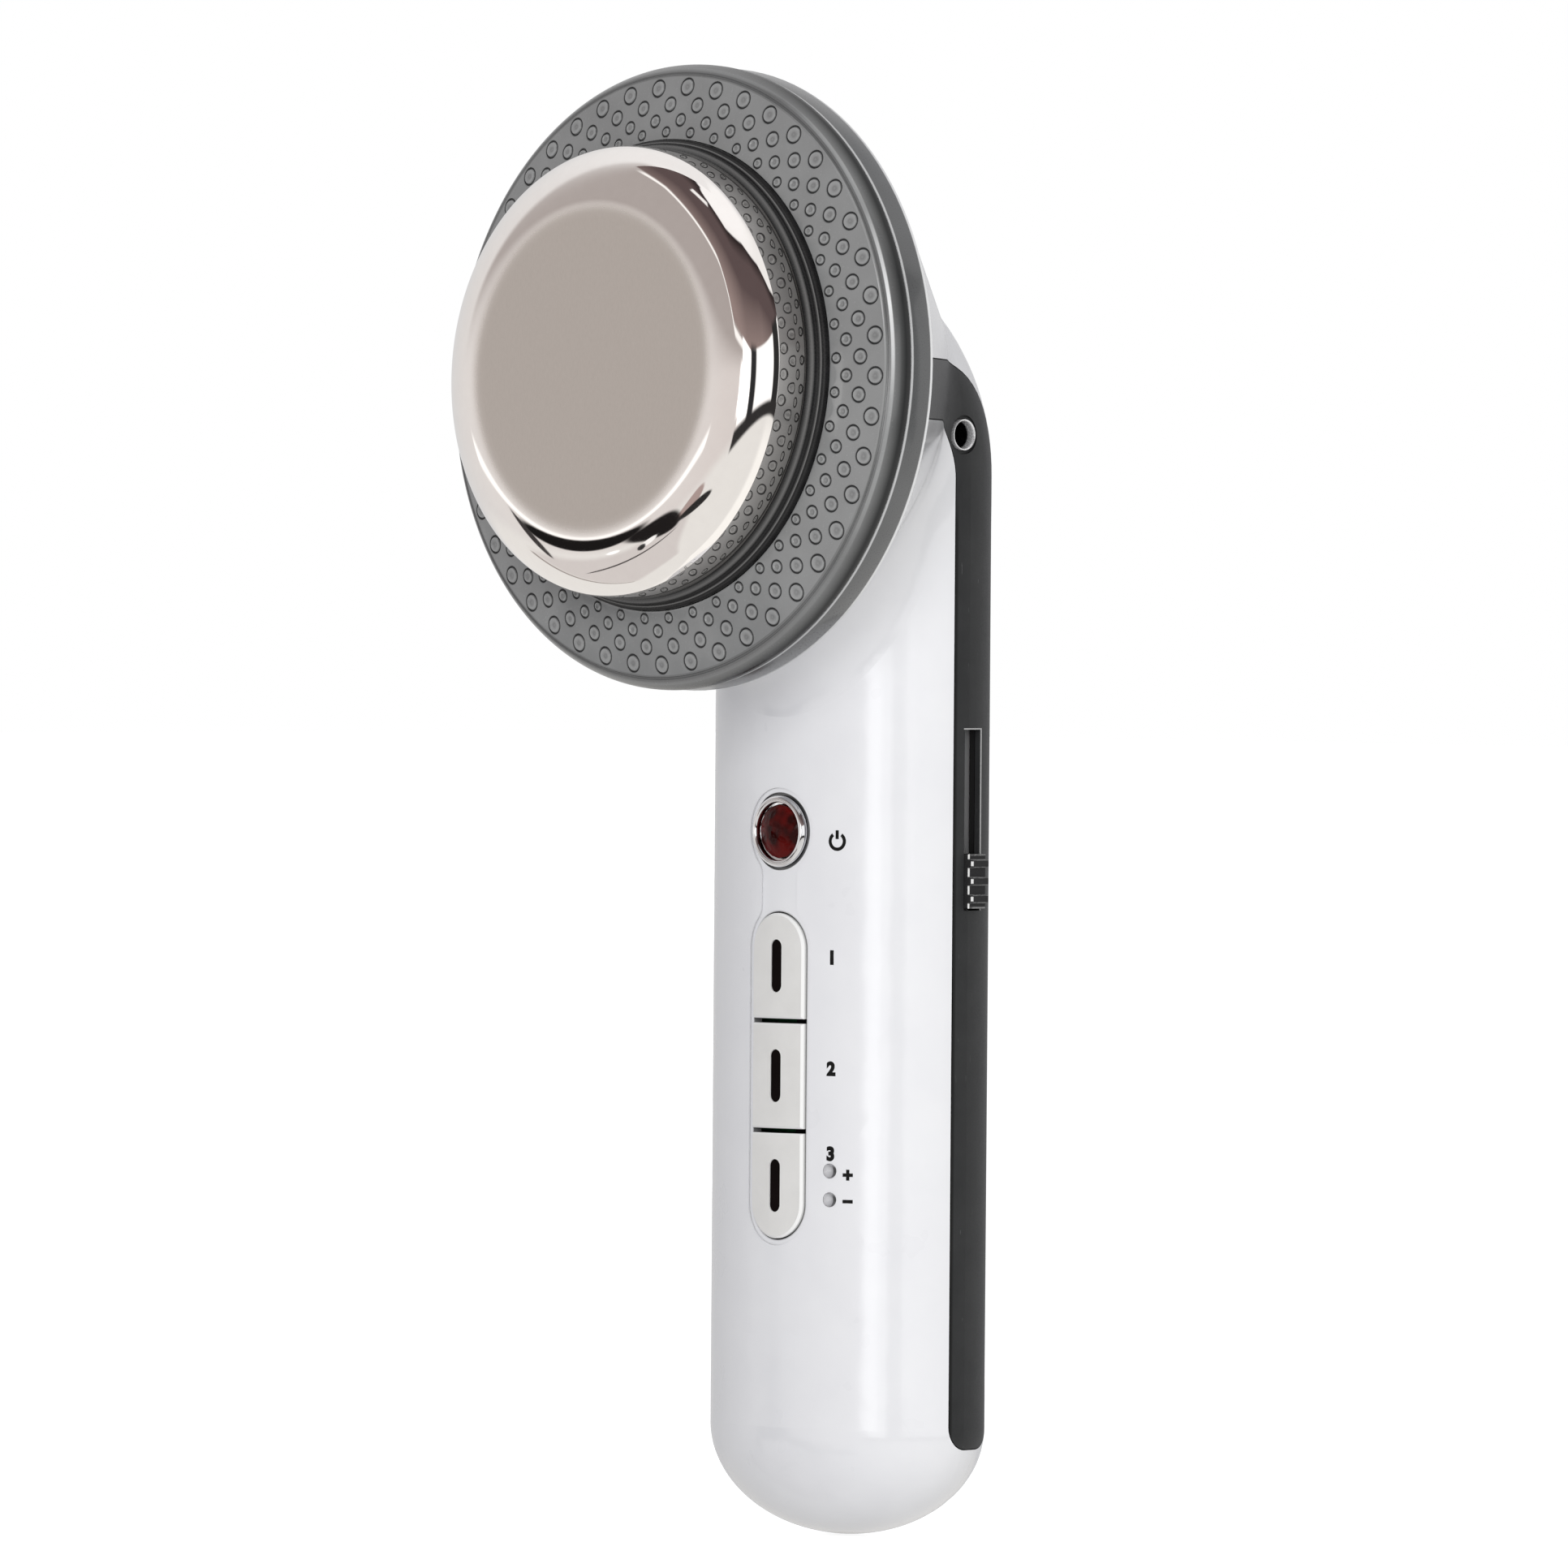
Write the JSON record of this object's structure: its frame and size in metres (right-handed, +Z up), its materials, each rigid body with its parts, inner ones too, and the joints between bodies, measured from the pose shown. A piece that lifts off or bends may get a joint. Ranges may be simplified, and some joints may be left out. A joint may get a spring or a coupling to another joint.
{
  "type": "facial toning device",
  "caption": "Hand-held skin treatment wand: round polished metal head in a grey dotted lens ring, angled on a slim white handle with push buttons, a lamp, a side slider and a power socket.",
  "frame": {"origin": "centre of the bounding box's underside: below the middle of the whole object, with the rounded foot of the upright handle at height 0", "axes": "+Z up along the straight handle, from its rounded foot to the head; the round treatment head and the buttons face -Y; +X is the side that has the slider and the power socket"},
  "size_m": [0.0848, 0.0664, 0.2],
  "materials": {
    "white_shell": "glossy pearl-white moulded plastic",
    "dark_band": "fine-textured matte dark grey plastic",
    "grey_bezel": "satin mid-grey moulded plastic",
    "smoked_lens": "smoked grey plastic with small embossed rings",
    "dark_collar": "glossy near-black plastic",
    "polished_metal": "polished warm silver metal with a fine matte face",
    "bright_ring": "bright plated metal",
    "red_lens": "dark red clear plastic",
    "button_plastic": "satin warm light grey plastic",
    "dark_window": "dark smoked insert",
    "knob_plastic": "matte dark plastic with ribs",
    "clear_plastic": "frosted clear plastic",
    "black_plastic": "matte black moulded plastic",
    "connector_plastic": "natural nylon",
    "plain_metal": "plain light metal",
    "screw_steel": "zinc-plated steel",
    "brass_parts": "tinned brass",
    "circuit_board": "green solder mask on glass-fibre laminate",
    "ferrite": "dark ferrite",
    "copper_winding": "enamelled copper wire",
    "capacitor_can": "sleeved aluminium can",
    "piezo_ceramic": "fired ceramic disc",
    "foam": "closed-cell foam",
    "infrared_emitter": "dark clear resin",
    "lamp_resin": "tinted resin",
    "red_insulation": "red silicone insulation",
    "black_insulation": "black silicone insulation"
  },
  "bodies": {
    "root": {"front_shell": "white_shell", "rear_shell": "white_shell", "side_band_right": "dark_band", "side_band_left": "dark_band", "head_bezel": "grey_bezel", "infrared_lens": "smoked_lens", "head_seal": "dark_collar", "contact_head": "polished_metal", "transducer_disc": "piezo_ceramic", "damping_pad": "foam", "head_clamp": "plain_metal", "head_clamp_screws": "screw_steel", "infrared_board": "circuit_board", "infrared_lamps": "infrared_emitter", "power_lamp_ring": "bright_ring", "power_lamp_lens": "red_lens", "power_lamp_led": "lamp_resin", "button_switches": "black_plastic", "indicator_leds": "lamp_resin", "level_light_guides": "clear_plastic", "slide_fader": "plain_metal", "socket_sleeve": "bright_ring", "socket_housing": "black_plastic", "socket_contacts": "brass_parts", "main_board": "circuit_board", "board_screws": "screw_steel", "case_screws": "screw_steel", "transformer_core": "ferrite", "transformer_coil": "copper_winding", "smoothing_capacitors": "capacitor_can", "power_inductor": "ferrite", "driver_chips": "black_plastic", "heat_sink": "plain_metal", "quartz_crystal": "plain_metal", "board_connectors": "connector_plastic", "transducer_leads": "red_insulation", "electrode_lead": "black_insulation", "lamp_ring_leads": "red_insulation", "socket_leads": "black_insulation"},
    "button_upper": {"button_upper": "button_plastic", "button_window_upper": "dark_window", "switch_plunger_upper": "black_plastic"},
    "button_middle": {"button_middle": "button_plastic", "button_window_middle": "dark_window", "switch_plunger_middle": "black_plastic"},
    "button_lower": {"button_lower": "button_plastic", "button_window_lower": "dark_window", "switch_plunger_lower": "black_plastic"},
    "slider": {"slider_knob": "knob_plastic", "slider_shield": "black_plastic", "slider_lever": "plain_metal"}
  },
  "joints": [
    {"name": "button_upper_press", "type": "slide", "parent": "root", "child": "button_upper", "axis": [0, 1, 0], "range_m": [0, 0.0006], "stiffness_N_per_m": 1500, "springref_m": -0.0004},
    {"name": "button_middle_press", "type": "slide", "parent": "root", "child": "button_middle", "axis": [0, 1, 0], "range_m": [0, 0.0006], "stiffness_N_per_m": 1500, "springref_m": -0.0004},
    {"name": "button_lower_press", "type": "slide", "parent": "root", "child": "button_lower", "axis": [0, 1, 0], "range_m": [0, 0.0006], "stiffness_N_per_m": 1500, "springref_m": -0.0004},
    {"name": "slider_travel", "type": "slide", "parent": "root", "child": "slider", "axis": [0, 0, 1], "range_m": [0, 0.0166]}
  ]
}
